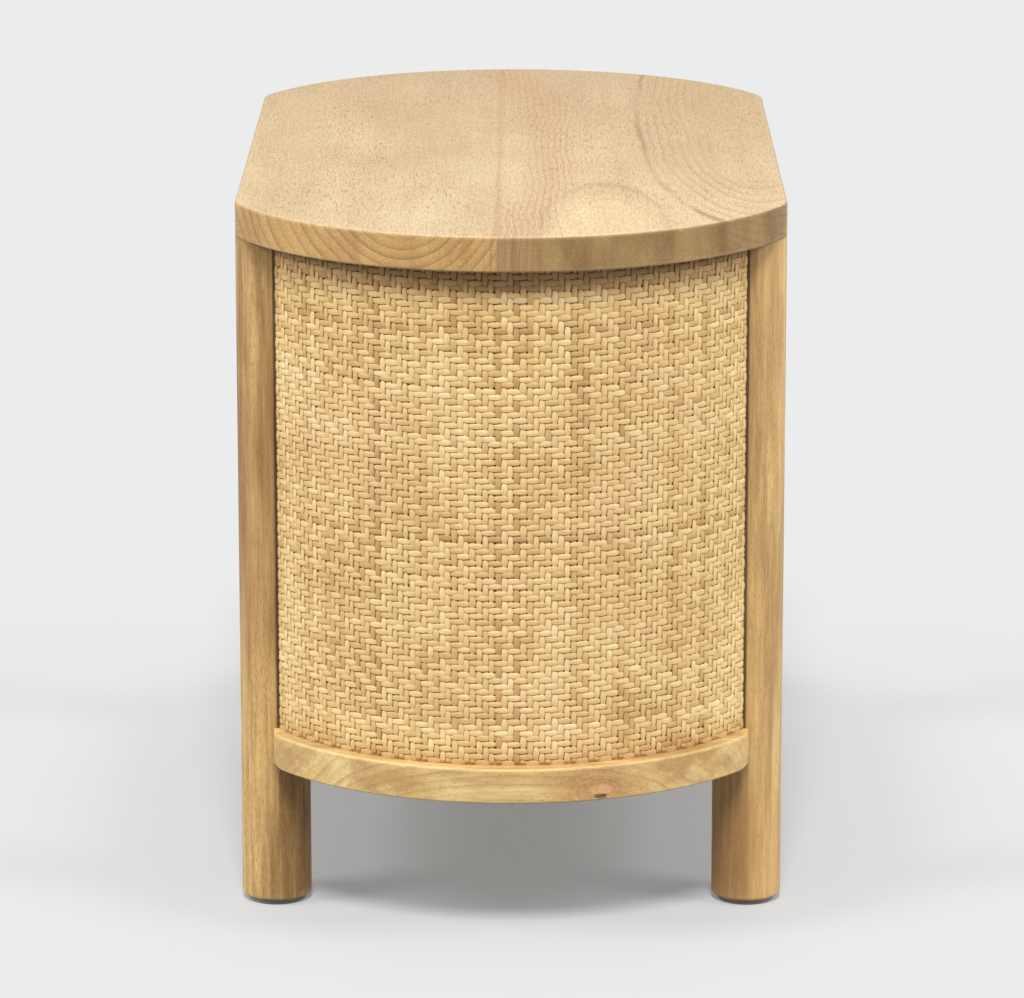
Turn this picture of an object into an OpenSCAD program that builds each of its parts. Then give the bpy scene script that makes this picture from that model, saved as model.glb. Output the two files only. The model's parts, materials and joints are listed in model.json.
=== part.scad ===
// Nightstand with an oval top, four round legs, woven curved ends and two drawers on side slides.
// The origin is on the floor under the middle of the top. +X runs to the right along the length,
// -Y faces the front where the drawers open, and +Z is up. All sizes are in millimetres.

/* [Overall] */
// Length of the top from end to end
top_length = 800; // [790:5:860]
// Depth of the top from front to back
top_depth = 430; // [426:1:446]
// Height from the floor to the upper face of the top
total_height = 566; // [558:1:590]
// Thickness of the top
top_thickness = 27.5; // [24:0.5:32]
// How far each curved end bulges past the straight sides
end_sag = 146; // [142:1:152]

/* [Legs] */
// Diameter of each round leg
leg_diameter = 55; // [52:1:56]
// Distance from the corner of the top back to the leg's axis
leg_inset = 6; // [6:1:12]
// Bevel round the foot of each leg
leg_bevel = 3; // [1:0.5:4]
// Diameter of the glide under each leg
glide_diameter = 46; // [38:1:48]
// Thickness of the glide under each leg
glide_height = 4; // [3:0.5:6]

/* [Base frame] */
// Height of the underside of the base rails above the floor
rail_bottom = 120; // [106:1:126]
// Height of the base rails
rail_height = 27.5; // [24:0.5:32]
// Width of the base rails in plan
rail_width = 45; // [42:1:46]
// Distance from the edge of the top back to the face of the base rails
rail_setback = 7; // [6:0.5:8]
// Thickness of the floor panel of the case
floor_thickness = 9; // [6:1:10]

/* [Woven ends] */
// Distance from the edge of the top back to the woven face
weave_setback = 17.5; // [16.5:0.5:21]
// Thickness of the woven skin
weave_thickness = 3; // [2:0.5:4]
// Thickness of the bent plywood behind the weave
end_panel_thickness = 5; // [4:0.5:6]

/* [Drawers] */
// Distance from the edge of the top back to the drawer faces
front_setback = 25; // [24.5:0.5:26]
// Thickness of each drawer front
front_thickness = 18; // [16:1:18]
// Gap above, between and below the drawer fronts
front_gap = 3; // [2:0.5:4]
// Gap between a drawer front and each leg
leg_gap = 2; // [1.5:0.5:3]
// Width of the wooden border round the woven panel of a drawer front
front_border = 24; // [18:1:34]
// Height of the drawer boxes
box_height = 150; // [120:5:150]
// Length of the drawer sides
box_length = 318; // [304:1:320]
// Thickness of the drawer sides and backs
box_wall = 12; // [10:1:14]
// Thickness of the drawer bottoms
box_floor = 5; // [4:0.5:6]
// Diameter of each knob
knob_diameter = 30; // [26:1:36]
// How far each knob stands out
knob_length = 23; // [20:1:23]

/* [Slides] */
// Length of the slides
slide_length = 300; // [280:10:300]
// Height of the slides
slide_height = 45; // [43:1:46]
// Space that a slide takes between the drawer and the case
slide_thickness = 12.7; // [12.5:0.1:13]

/* [Hidden] */
$fn = 96;

// Signs that pick a side of the piece
LEFT = -1;
RIGHT = 1;
FRONT = -1;
BACK = 1;

// Which of the two drawers
LOWER = 0;
UPPER = 1;

// Outline of the top: straight sides between two arcs
end_radius = (pow(top_depth / 2, 2) + pow(end_sag, 2)) / (2 * end_sag);
end_centre_x = top_length / 2 - end_radius;
corner_x = top_length / 2 - end_sag;
under_top = total_height - top_thickness;

// Legs
leg_r = leg_diameter / 2;
leg_x = corner_x - leg_inset;
leg_y = top_depth / 2 - leg_r;
leg_inner_x = leg_x - leg_r;
panel_groove = 6;
glide_bevel = 1;
glide_nail_r = 1.3;
glide_nail_length = 14;

// Base frame and floor
rail_top = rail_bottom + rail_height;
rail_face_y = top_depth / 2 - rail_setback;
rail_back_y = rail_face_y - rail_width;
floor_top = rail_top + floor_thickness;
floor_front_gap = 1;
bearer_width = 26;
bearer_inset = 12.5;
bearer_inner_x = leg_inner_x - bearer_inset;

// Curved ends, as radii about the centre of the end arc
rail_r = end_radius - rail_setback;
weave_r = end_radius - weave_setback;
weave_back_r = weave_r - weave_thickness;
end_panel_back_r = weave_back_r - end_panel_thickness;
top_rail_width = 30;
weave_leg_gap = 0.3;

// Inner walls that carry the slides
partition_thickness = 12;
partition_leg_gap = 0.5;
partition_end_inset = 24.5;
partition_x = leg_inner_x - partition_leg_gap;
partition_y = leg_y - partition_end_inset;

// Rails under the top and between the drawers
top_rail_thickness = 20;
cross_rail_depth = 50;
middle_rail_thickness = 18;
back_rail_depth = 24;
cleat_width = 20;
cleat_length = 240;
cleat_screw_y = cleat_length / 3;
back_panel_thickness = 6;
back_panel_gap = 0.4;

// Dowels and screws
fit_gap = 0.05;
rail_dowel_r = 4;
rail_dowel_half = 15;
rail_dowel_rise = 7;
leg_dowel_r = 6;
leg_dowel_depth_top = 16;
leg_dowel_depth_leg = 22;
screw_r = 2;
screw_head_r = 3.6;
screw_head_height = 1.4;
top_screw_length = 33;
end_screw_turn = 35;
rail_screw_x = 140;
slide_screw_length = 10;
// How far a head runs into its shank, and how far a cut runs past the surface it opens
head_overlap = 0.5;
cut_margin = 1;

// Drawers
front_y = -(top_depth / 2 - front_setback);
front_back_y = front_y + front_thickness;
front_half_width = leg_inner_x - leg_gap;
front_height = (under_top - rail_top - 3 * front_gap) / 2;
weave_pocket = 4;
box_lift = 12;
box_half_width = partition_x - slide_thickness;
box_inner_x = box_half_width - box_wall;
box_back_y = front_back_y + box_length;
box_floor_lift = 10;
groove_depth = 5;
knob_screw_reach = 14;
// The knob's shape, as shares of its diameter and of its length
knob_base_share = 0.3;
knob_neck_share = 0.24;
knob_head_share = 0.45;
knob_neck_start = 0.2;
knob_neck_end = 0.35;
knob_base_y = front_y + weave_pocket - weave_thickness;

// Slides: depths are measured from the case wall towards the drawer
steel = 1.2;
channel_step = 2.5;
case_flange_depth = 10;
middle_web_depth = 3.2;
middle_flange_depth = 11;
drawer_flange_depth = 6.2;
slide_front_inset = 2;
slide_front_y = -partition_y + slide_front_inset;
slide_screw_inset = 32;
slide_lift = 70;
ball_r = 1.1;
ball_count = 5;
ball_pitch = 30;
strip_inset = 15;
strip_thickness = 0.8;
strip_depth = 1.6;
outer_strip_depth = 7;
inner_strip_depth = 8.6;

// Colours
top_colour = "#c8a57c";
leg_colour = "#bf9558";
rail_colour = "#b98f56";
ply_colour = "#d6bd93";
weave_colour = "#d2b27a";
steel_colour = "#b9bcc0";
glide_colour = "#4a4d52";

function drawer_z(level) = rail_top + front_gap + level * (front_height + front_gap);
function box_z(level) = drawer_z(level) + box_lift;
function slide_z(level) = box_z(level) + slide_lift;
function front_middle_z(level) = drawer_z(level) + front_height / 2;

// A block between two opposite corners
module block(low, high) {
    translate(low)
        cube(high - low);
}

// An upright round bar with its base at a point
module post(at, r, height) {
    translate(at)
        cylinder(r = r, h = height);
}

// A round bar lying along X, from one x to a greater one
module bar_x(x_low, x_high, y, z, r) {
    translate([x_low, y, z])
        rotate([0, 90, 0])
            cylinder(r = r, h = x_high - x_low);
}

// The plan of the top, or a smaller one with the same centres
module plan(half_depth, r) {
    intersection() {
        square([top_length, 2 * half_depth], center = true);
        union() {
            square([2 * end_centre_x, 2 * half_depth], center = true);
            for (side = [LEFT, RIGHT])
                translate([side * end_centre_x, 0])
                    circle(r = r);
        }
    }
}

// The part of a ring about an end's centre that lies outside the axes of its legs
module end_ring(side, r_outer, r_inner, z_low, z_high) {
    height = z_high - z_low;
    intersection() {
        translate([side * end_centre_x, 0, z_low])
            difference() {
                cylinder(r = r_outer, h = height);
                translate([0, 0, -cut_margin])
                    cylinder(r = r_inner, h = height + 2 * cut_margin);
            }
        translate([side > 0 ? leg_x : -leg_x - end_sag, -top_depth / 2, z_low])
            cube([end_sag, top_depth, height]);
    }
}

// Four round bars on the legs' axes, to cut room for the legs
module leg_bars(r, z_low, z_high) {
    for (side = [LEFT, RIGHT], face = [FRONT, BACK])
        post([side * leg_x, face * leg_y, z_low], r, z_high - z_low);
}

// Dowels from a leg into the straight base rail beside it
module straight_rail_dowels(side, face, r) {
    joint_x = side * leg_inner_x;
    for (rise = [-rail_dowel_rise, rail_dowel_rise])
        bar_x(joint_x - rail_dowel_half, joint_x + rail_dowel_half,
              face * leg_y, rail_bottom + rail_height / 2 + rise, r);
}

// Dowels from a leg into the curved end rail, along the tangent at the leg
module end_rail_dowels(side, face, r) {
    turn = atan2(face * leg_y, side * (leg_x - end_centre_x));
    along = turn - 90 * side * face;
    for (rise = [-rail_dowel_rise, rail_dowel_rise])
        translate([side * leg_x, face * leg_y, rail_bottom + rail_height / 2 + rise])
            rotate([0, 90, along])
                translate([0, 0, leg_r - rail_dowel_half])
                    cylinder(r = r, h = 2 * rail_dowel_half);
}

module leg_dowel(side, face, r) {
    post([side * leg_x, face * leg_y, under_top - leg_dowel_depth_leg], r,
         leg_dowel_depth_leg + leg_dowel_depth_top);
}

// The places of the screws that hold the top, all driven up from below
function end_screw_xy(side, face) =
    [side * (end_centre_x + (end_panel_back_r - top_rail_width / 2) * cos(end_screw_turn)),
     face * (end_panel_back_r - top_rail_width / 2) * sin(end_screw_turn)];
cleat_screws = [for (side = [LEFT, RIGHT], face = [FRONT, BACK])
    [side * (partition_x + partition_thickness + cleat_width / 2), face * cleat_screw_y]];
end_screws = [for (side = [LEFT, RIGHT], face = [FRONT, BACK]) end_screw_xy(side, face)];
front_screws = [for (side = [LEFT, RIGHT]) [side * rail_screw_x, -partition_y + cross_rail_depth / 2]];
back_screws = [for (side = [LEFT, RIGHT])
    [side * rail_screw_x, -front_y - back_panel_thickness - back_rail_depth / 2]];

// Round bars where the top's screws pass, to cut their holes
module top_screw_holes(places) {
    for (at = places)
        post([at[0], at[1], under_top - top_rail_thickness - cut_margin], screw_r + fit_gap,
             top_screw_length + cut_margin);
}

module top_slab() {
    color(top_colour)
        difference() {
            translate([0, 0, under_top])
                linear_extrude(top_thickness)
                    plan(top_depth / 2, end_radius);
            for (side = [LEFT, RIGHT], face = [FRONT, BACK])
                leg_dowel(side, face, leg_dowel_r + fit_gap);
            top_screw_holes(cleat_screws);
            top_screw_holes(end_screws);
            top_screw_holes(front_screws);
            top_screw_holes(back_screws);
        }
}

module leg(side, face) {
    color(leg_colour)
        difference() {
            translate([side * leg_x, face * leg_y, 0])
                rotate_extrude()
                    polygon([
                        [0, glide_height],
                        [leg_r - leg_bevel, glide_height],
                        [leg_r, glide_height + leg_bevel],
                        [leg_r, under_top],
                        [0, under_top]
                    ]);
            leg_dowel(side, face, leg_dowel_r + fit_gap);
            straight_rail_dowels(side, face, rail_dowel_r + fit_gap);
            end_rail_dowels(side, face, rail_dowel_r + fit_gap);
            post([side * leg_x, face * leg_y, glide_height - cut_margin], glide_nail_r + fit_gap,
                 glide_nail_length + cut_margin);
            difference() {
                end_ring(side, weave_back_r + fit_gap, end_panel_back_r - fit_gap, rail_top,
                         under_top + cut_margin);
                leg_bars(leg_r - panel_groove, rail_top - cut_margin, under_top + 2 * cut_margin);
            }
        }
}

module foot_glides() {
    glide_r = glide_diameter / 2;
    color(glide_colour)
        for (side = [LEFT, RIGHT], face = [FRONT, BACK])
            translate([side * leg_x, face * leg_y, 0])
                rotate_extrude()
                    polygon([
                        [0, 0],
                        [glide_r - glide_bevel, 0],
                        [glide_r, glide_bevel],
                        [glide_r, glide_height],
                        [glide_nail_r, glide_height],
                        [glide_nail_r, glide_height + glide_nail_length - glide_bevel],
                        [0, glide_height + glide_nail_length]
                    ]);
}

module straight_base_rail(face) {
    y_low = face > 0 ? rail_back_y : -rail_face_y;
    color(rail_colour)
        difference() {
            block([-leg_x, y_low, rail_bottom], [leg_x, y_low + rail_width, rail_top]);
            leg_bars(leg_r, rail_bottom - cut_margin, rail_top + cut_margin);
            for (side = [LEFT, RIGHT])
                straight_rail_dowels(side, face, rail_dowel_r + fit_gap);
        }
}

// A curved rail: its ends stop in line with the legs' axes
module end_rail(side) {
    color(rail_colour)
        difference() {
            intersection() {
                end_ring(side, rail_r, rail_r - rail_width, rail_bottom, rail_top);
                block([-top_length / 2, -leg_y, rail_bottom], [top_length / 2, leg_y, rail_top]);
            }
            leg_bars(leg_r, rail_bottom - cut_margin, rail_top + cut_margin);
            for (face = [FRONT, BACK])
                end_rail_dowels(side, face, rail_dowel_r + fit_gap);
        }
}

module bearer(side) {
    x_low = side > 0 ? bearer_inner_x : -bearer_inner_x - bearer_width;
    color(rail_colour)
        block([x_low, -rail_back_y, rail_bottom], [x_low + bearer_width, rail_back_y, rail_top]);
}

module floor_panel() {
    color(ply_colour)
        difference() {
            intersection() {
                translate([0, 0, rail_top])
                    linear_extrude(floor_thickness)
                        plan(top_depth / 2, end_panel_back_r);
                block([-top_length / 2, front_back_y + floor_front_gap, rail_top],
                      [top_length / 2, -front_y - back_panel_thickness, floor_top]);
            }
            leg_bars(leg_r + fit_gap, rail_top - cut_margin, floor_top + cut_margin);
        }
}

module partition(side) {
    x_low = side > 0 ? partition_x : -partition_x - partition_thickness;
    color(ply_colour)
        difference() {
            block([x_low, -partition_y, floor_top], [x_low + partition_thickness, partition_y, under_top]);
            for (level = [LOWER, UPPER])
                case_screws(side, level, screw_r + fit_gap);
        }
}

module front_top_rail() {
    color(rail_colour)
        difference() {
            block([-partition_x, -partition_y, under_top - top_rail_thickness],
                  [partition_x, -partition_y + cross_rail_depth, under_top]);
            top_screw_holes(front_screws);
        }
}

module front_middle_rail() {
    z_low = drawer_z(UPPER) - (front_gap + middle_rail_thickness) / 2;
    color(rail_colour)
        block([-partition_x, -partition_y, z_low],
              [partition_x, -partition_y + cross_rail_depth, z_low + middle_rail_thickness]);
}

module back_top_rail() {
    y_high = -front_y - back_panel_thickness;
    color(rail_colour)
        difference() {
            block([-partition_x, y_high - back_rail_depth, under_top - top_rail_thickness],
                  [partition_x, y_high, under_top]);
            top_screw_holes(back_screws);
        }
}

module back_panel() {
    half_width = leg_inner_x - back_panel_gap;
    color(ply_colour)
        block([-half_width, -front_y - back_panel_thickness, rail_top], [half_width, -front_y, under_top]);
}

module end_top_rail(side) {
    color(rail_colour)
        difference() {
            end_ring(side, end_panel_back_r, end_panel_back_r - top_rail_width,
                     under_top - top_rail_thickness, under_top);
            leg_bars(leg_r + fit_gap, under_top - top_rail_thickness - cut_margin, under_top + cut_margin);
            top_screw_holes(end_screws);
        }
}

module top_cleats() {
    color(rail_colour)
        for (side = [LEFT, RIGHT])
            difference() {
                x_low = side > 0
                    ? partition_x + partition_thickness
                    : -partition_x - partition_thickness - cleat_width;
                block([x_low, -cleat_length / 2, under_top - top_rail_thickness],
                      [x_low + cleat_width, cleat_length / 2, under_top]);
                top_screw_holes(cleat_screws);
            }
}

module end_panel(side) {
    color(ply_colour)
        difference() {
            end_ring(side, weave_back_r, end_panel_back_r, rail_top, under_top);
            leg_bars(leg_r - panel_groove + fit_gap, rail_top - cut_margin, under_top + cut_margin);
        }
}

module woven_panel(side) {
    color(weave_colour)
        difference() {
            end_ring(side, weave_r, weave_back_r, rail_top, under_top);
            leg_bars(leg_r + weave_leg_gap, rail_top - cut_margin, under_top + cut_margin);
        }
}

module rail_dowels() {
    color(ply_colour)
        for (side = [LEFT, RIGHT], face = [FRONT, BACK]) {
            straight_rail_dowels(side, face, rail_dowel_r);
            end_rail_dowels(side, face, rail_dowel_r);
        }
}

module leg_dowels() {
    color(ply_colour)
        for (side = [LEFT, RIGHT], face = [FRONT, BACK])
            leg_dowel(side, face, leg_dowel_r);
}

module top_screws() {
    z_head = under_top - top_rail_thickness - screw_head_height;
    color(steel_colour)
        for (at = concat(cleat_screws, end_screws, front_screws, back_screws)) {
            post([at[0], at[1], z_head], screw_head_r, screw_head_height);
            post([at[0], at[1], z_head + screw_head_height - head_overlap], screw_r, top_screw_length);
        }
}

// A channel lying along Y: a web with a flange at its top and bottom, both at the given depths
module channel(side, level, web_depth, flange_near, flange_far, half_height) {
    z = slide_z(level);
    y_high = slide_front_y + slide_length;
    slab_between(side, web_depth, web_depth + steel, slide_front_y, y_high, z - half_height, z + half_height);
    slab_between(side, flange_near, flange_far, slide_front_y, y_high,
                 z - half_height, z - half_height + steel);
    slab_between(side, flange_near, flange_far, slide_front_y, y_high,
                 z + half_height - steel, z + half_height);
}

// A block between two depths from the case wall on one side
module slab_between(side, near, far, y_low, y_high, z_low, z_high) {
    x_low = side > 0 ? partition_x - far : near - partition_x;
    block([x_low, y_low, z_low], [x_low + far - near, y_high, z_high]);
}

// Screws, or the holes for them, through a slide member: from a depth out to a greater one
module slide_pins(side, level, near, far, r) {
    x_low = side > 0 ? partition_x - far : near - partition_x;
    for (y = [slide_front_y + slide_screw_inset, slide_front_y + slide_length - slide_screw_inset])
        bar_x(x_low, x_low + far - near, y, slide_z(level), r);
}

module case_screws(side, level, r) {
    slide_pins(side, level, -slide_screw_length, steel + head_overlap, r);
}

module drawer_channel_screws(side, level, r) {
    slide_pins(side, level, slide_thickness - steel - head_overlap, slide_thickness + slide_screw_length, r);
}

module case_channel(side, level) {
    color(steel_colour)
        difference() {
            channel(side, level, 0, 0, case_flange_depth, slide_height / 2);
            case_screws(side, level, screw_r + fit_gap);
        }
}

module case_channel_screws() {
    color(steel_colour)
        for (side = [LEFT, RIGHT], level = [LOWER, UPPER]) {
            case_screws(side, level, screw_r);
            slide_pins(side, level, steel, steel + screw_head_height, screw_head_r);
        }
}

module middle_channel(side, level) {
    color(steel_colour)
        channel(side, level, middle_web_depth, middle_web_depth, middle_flange_depth,
                slide_height / 2 - steel - channel_step);
}

// A strip that holds a row of balls between two flanges
module ball_strip(side, depth, y_low, z) {
    centre_x = side * (partition_x - depth);
    length = (ball_count - 1) * ball_pitch;
    block([centre_x - strip_depth / 2, y_low - 2 * ball_r, z - strip_thickness / 2],
          [centre_x + strip_depth / 2, y_low + length + 2 * ball_r, z + strip_thickness / 2]);
    for (i = [0 : ball_count - 1])
        translate([centre_x, y_low + i * ball_pitch, z])
            sphere(r = ball_r);
}

module ball_strips(level) {
    outer_z = slide_height / 2 - steel - channel_step / 2;
    inner_z = outer_z - steel - channel_step;
    color(steel_colour)
        for (side = [LEFT, RIGHT], up = [-1, 1]) {
            ball_strip(side, outer_strip_depth, slide_front_y + slide_length / 2 + strip_inset,
                       slide_z(level) + up * outer_z);
            ball_strip(side, inner_strip_depth, slide_front_y + strip_inset, slide_z(level) + up * inner_z);
        }
}

module drawer_channel(side, level) {
    color(steel_colour)
        difference() {
            channel(side, level, slide_thickness - steel, drawer_flange_depth, slide_thickness,
                    slide_height / 2 - 2 * (steel + channel_step));
            drawer_channel_screws(side, level, screw_r + fit_gap);
        }
}

// The drawer's bottom board, which also cuts the grooves that hold it
module bottom_board(level, play) {
    z_low = box_z(level) + box_floor_lift;
    block([-box_inner_x - groove_depth - play, front_back_y - groove_depth - play, z_low - play],
          [box_inner_x + groove_depth + play, box_back_y - box_wall + groove_depth + play,
           z_low + box_floor + play]);
}

// The knob's screw along Y, from the inside of the drawer into the knob
module knob_shank(level, r) {
    translate([0, front_back_y + head_overlap, front_middle_z(level)])
        rotate([90, 0, 0])
            cylinder(r = r, h = front_back_y + head_overlap - knob_base_y + knob_screw_reach);
}

module drawer_front(level) {
    z_low = drawer_z(level);
    color(rail_colour)
        difference() {
            block([-front_half_width, front_y, z_low],
                  [front_half_width, front_back_y, z_low + front_height]);
            block([-front_half_width + front_border, front_y - cut_margin, z_low + front_border],
                  [front_half_width - front_border, front_y + weave_pocket,
                   z_low + front_height - front_border]);
            bottom_board(level, fit_gap);
            knob_shank(level, screw_r + fit_gap);
        }
}

module drawer_weave(level) {
    z_low = drawer_z(level) + front_border + fit_gap;
    half_width = front_half_width - front_border - fit_gap;
    color(weave_colour)
        difference() {
            block([-half_width, knob_base_y, z_low],
                  [half_width, front_y + weave_pocket, z_low + front_height - 2 * (front_border + fit_gap)]);
            knob_shank(level, screw_r + fit_gap);
        }
}

module drawer_side(side, level) {
    x_low = side > 0 ? box_inner_x : -box_half_width;
    color(ply_colour)
        difference() {
            block([x_low, front_back_y, box_z(level)],
                  [x_low + box_wall, box_back_y, box_z(level) + box_height]);
            bottom_board(level, fit_gap);
            drawer_channel_screws(side, level, screw_r + fit_gap);
        }
}

module drawer_back(level) {
    color(ply_colour)
        difference() {
            block([-box_inner_x, box_back_y - box_wall, box_z(level)],
                  [box_inner_x, box_back_y, box_z(level) + box_height]);
            bottom_board(level, fit_gap);
        }
}

module drawer_bottom(level) {
    color(ply_colour)
        bottom_board(level, 0);
}

module knob(level) {
    base_r = knob_base_share * knob_diameter;
    neck_r = knob_neck_share * knob_diameter;
    head_r = knob_diameter / 2;
    head_height = knob_head_share * knob_length;
    dome = [for (angle = [0 : 15 : 90])
        [head_r * cos(angle), knob_length - head_height + head_height * sin(angle)]];
    color(leg_colour)
        difference() {
            translate([0, knob_base_y, front_middle_z(level)])
                rotate([90, 0, 0])
                    rotate_extrude()
                        polygon(concat(
                            [[0, 0], [base_r, 0]],
                            [[neck_r, knob_neck_start * knob_length], [neck_r, knob_neck_end * knob_length]],
                            dome
                        ));
            knob_shank(level, screw_r + fit_gap);
        }
}

module drawer_screws(level) {
    color(steel_colour) {
        knob_shank(level, screw_r);
        translate([0, front_back_y + screw_head_height, front_middle_z(level)])
            rotate([90, 0, 0])
                cylinder(r = screw_head_r, h = screw_head_height);
        for (side = [LEFT, RIGHT]) {
            drawer_channel_screws(side, level, screw_r);
            slide_pins(side, level, slide_thickness - steel - screw_head_height, slide_thickness - steel,
                       screw_head_r);
        }
    }
}

top_slab();
leg(LEFT, FRONT);  // front_left_leg
leg(RIGHT, FRONT);  // front_right_leg
leg(LEFT, BACK);  // back_left_leg
leg(RIGHT, BACK);  // back_right_leg
foot_glides();
straight_base_rail(FRONT);  // front_base_rail
straight_base_rail(BACK);  // back_base_rail
end_rail(LEFT);  // left_end_rail
end_rail(RIGHT);  // right_end_rail
bearer(LEFT);  // left_bearer
bearer(RIGHT);  // right_bearer
floor_panel();
partition(LEFT);  // left_partition
partition(RIGHT);  // right_partition
front_top_rail();
front_middle_rail();
back_top_rail();
back_panel();
end_top_rail(LEFT);  // left_end_top_rail
end_top_rail(RIGHT);  // right_end_top_rail
top_cleats();
end_panel(LEFT);  // left_end_panel
end_panel(RIGHT);  // right_end_panel
woven_panel(LEFT);  // left_woven_panel
woven_panel(RIGHT);  // right_woven_panel
rail_dowels();
leg_dowels();
top_screws();
case_channel(LEFT, UPPER);  // upper_left_case_channel
case_channel(RIGHT, UPPER);  // upper_right_case_channel
case_channel(LEFT, LOWER);  // lower_left_case_channel
case_channel(RIGHT, LOWER);  // lower_right_case_channel
case_channel_screws();
middle_channel(LEFT, UPPER);  // upper_left_middle_channel
middle_channel(RIGHT, UPPER);  // upper_right_middle_channel
ball_strips(UPPER);  // upper_ball_strips
middle_channel(LEFT, LOWER);  // lower_left_middle_channel
middle_channel(RIGHT, LOWER);  // lower_right_middle_channel
ball_strips(LOWER);  // lower_ball_strips
drawer_channel(LEFT, UPPER);  // upper_left_drawer_channel
drawer_channel(RIGHT, UPPER);  // upper_right_drawer_channel
drawer_front(UPPER);  // upper_drawer_front
drawer_weave(UPPER);  // upper_drawer_weave
drawer_side(LEFT, UPPER);  // upper_drawer_left_side
drawer_side(RIGHT, UPPER);  // upper_drawer_right_side
drawer_back(UPPER);  // upper_drawer_back
drawer_bottom(UPPER);  // upper_drawer_bottom
knob(UPPER);  // upper_knob
drawer_screws(UPPER);  // upper_drawer_screws
drawer_channel(LEFT, LOWER);  // lower_left_drawer_channel
drawer_channel(RIGHT, LOWER);  // lower_right_drawer_channel
drawer_front(LOWER);  // lower_drawer_front
drawer_weave(LOWER);  // lower_drawer_weave
drawer_side(LEFT, LOWER);  // lower_drawer_left_side
drawer_side(RIGHT, LOWER);  // lower_drawer_right_side
drawer_back(LOWER);  // lower_drawer_back
drawer_bottom(LOWER);  // lower_drawer_bottom
knob(LOWER);  // lower_knob
drawer_screws(LOWER);  // lower_drawer_screws
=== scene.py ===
import functools
import json
import math

import bpy
import numpy as np
from mathutils import Matrix, Vector

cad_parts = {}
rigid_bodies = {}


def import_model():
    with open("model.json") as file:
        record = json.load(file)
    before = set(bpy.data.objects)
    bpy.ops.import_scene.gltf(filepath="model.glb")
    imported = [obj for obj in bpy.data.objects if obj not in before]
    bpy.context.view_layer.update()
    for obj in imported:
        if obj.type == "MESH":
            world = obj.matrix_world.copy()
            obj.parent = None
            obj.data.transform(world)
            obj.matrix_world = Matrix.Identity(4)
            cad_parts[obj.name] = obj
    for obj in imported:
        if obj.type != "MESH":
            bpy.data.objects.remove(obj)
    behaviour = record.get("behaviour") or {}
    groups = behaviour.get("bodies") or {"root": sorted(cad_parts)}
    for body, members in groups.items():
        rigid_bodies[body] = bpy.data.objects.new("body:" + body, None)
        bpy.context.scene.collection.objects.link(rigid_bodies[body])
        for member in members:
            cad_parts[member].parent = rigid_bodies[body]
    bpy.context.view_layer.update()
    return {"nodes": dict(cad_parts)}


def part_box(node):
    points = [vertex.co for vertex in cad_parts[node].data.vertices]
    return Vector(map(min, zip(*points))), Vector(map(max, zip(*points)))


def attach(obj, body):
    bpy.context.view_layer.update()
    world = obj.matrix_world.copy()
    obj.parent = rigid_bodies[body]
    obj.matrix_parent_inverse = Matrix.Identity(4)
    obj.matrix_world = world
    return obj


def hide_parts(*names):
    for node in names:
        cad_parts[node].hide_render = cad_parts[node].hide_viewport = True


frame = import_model()

MM = 0.001
SEED = 20
RIGHT = 1
LEFT = -1
LEVELS = ("upper", "lower")

# The plan of the top: straight long sides between two arcs
TOP_LOW, TOP_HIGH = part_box("top_slab")
HALF_LENGTH = TOP_HIGH.x
HALF_DEPTH = TOP_HIGH.y
END_SAG = 146 * MM
END_RADIUS = (HALF_DEPTH ** 2 + END_SAG ** 2) / (2 * END_SAG)
END_CENTRE = HALF_LENGTH - END_RADIUS

# Legs, and the heights that the case stands between
LEG_LOW, LEG_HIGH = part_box("back_right_leg")
LEG_R = (LEG_HIGH.x - LEG_LOW.x) / 2
LEG_X = (LEG_HIGH.x + LEG_LOW.x) / 2
LEG_Y = (LEG_HIGH.y + LEG_LOW.y) / 2
UNDER_TOP = TOP_LOW.z
RAIL_LOW, RAIL_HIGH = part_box("right_end_rail")
WEAVE_LOW, WEAVE_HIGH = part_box("right_woven_panel")
END_RAIL_R = RAIL_HIGH.x - END_CENTRE
RAIL_WIDTH = 45 * MM
WEAVE_R = WEAVE_HIGH.x - END_CENTRE
BACKING_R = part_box("right_end_panel")[1].x - END_CENTRE

# A knot in the right-hand rail: a dark split just above the lower edge, and a pale eye above that
KNOT_TURN = math.radians(18)
KNOT_X = END_CENTRE + END_RAIL_R * math.cos(KNOT_TURN)
KNOT_Y = END_RAIL_R * math.sin(KNOT_TURN)
KNOT_SPLIT = (KNOT_X, KNOT_Y, RAIL_LOW.z + 3.5 * MM)
KNOT_EYE = (KNOT_X, KNOT_Y, KNOT_SPLIT[2] + 5 * MM)


# ---- meshes

def seeded(name):
    """A random generator that belongs to one piece."""
    return np.random.default_rng([SEED] + [ord(c) for c in name])


def mesh_piece(name, points, faces, body, slot, nodes, grain, edge=None, values=None, smooth=40):
    """A mesh with its grain coordinates and edge wear stored on its points, riding on a CAD body."""
    mesh = bpy.data.meshes.new(name)
    mesh.from_pydata([tuple(p) for p in points], [], faces)
    mesh.validate()
    layers = {"grain": ("FLOAT_VECTOR", "vector", grain), "edge": ("FLOAT", "value", edge)}
    for key, data in (values or {}).items():
        layers[key] = ("FLOAT", "value", data)
    for key, (kind, field, data) in layers.items():
        if data is None:
            continue
        layer = mesh.attributes.new(key, kind, "POINT")
        layer.data.foreach_set(field, np.asarray(data, np.float32).ravel())
    mesh.shade_smooth()
    mesh.set_sharp_from_angle(angle=math.radians(smooth))
    mesh.materials.append(slot_material(slot))
    piece = bpy.data.objects.new(name, mesh)
    bpy.context.scene.collection.objects.link(piece)
    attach(piece, body)
    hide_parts(*nodes)
    return piece


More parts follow.
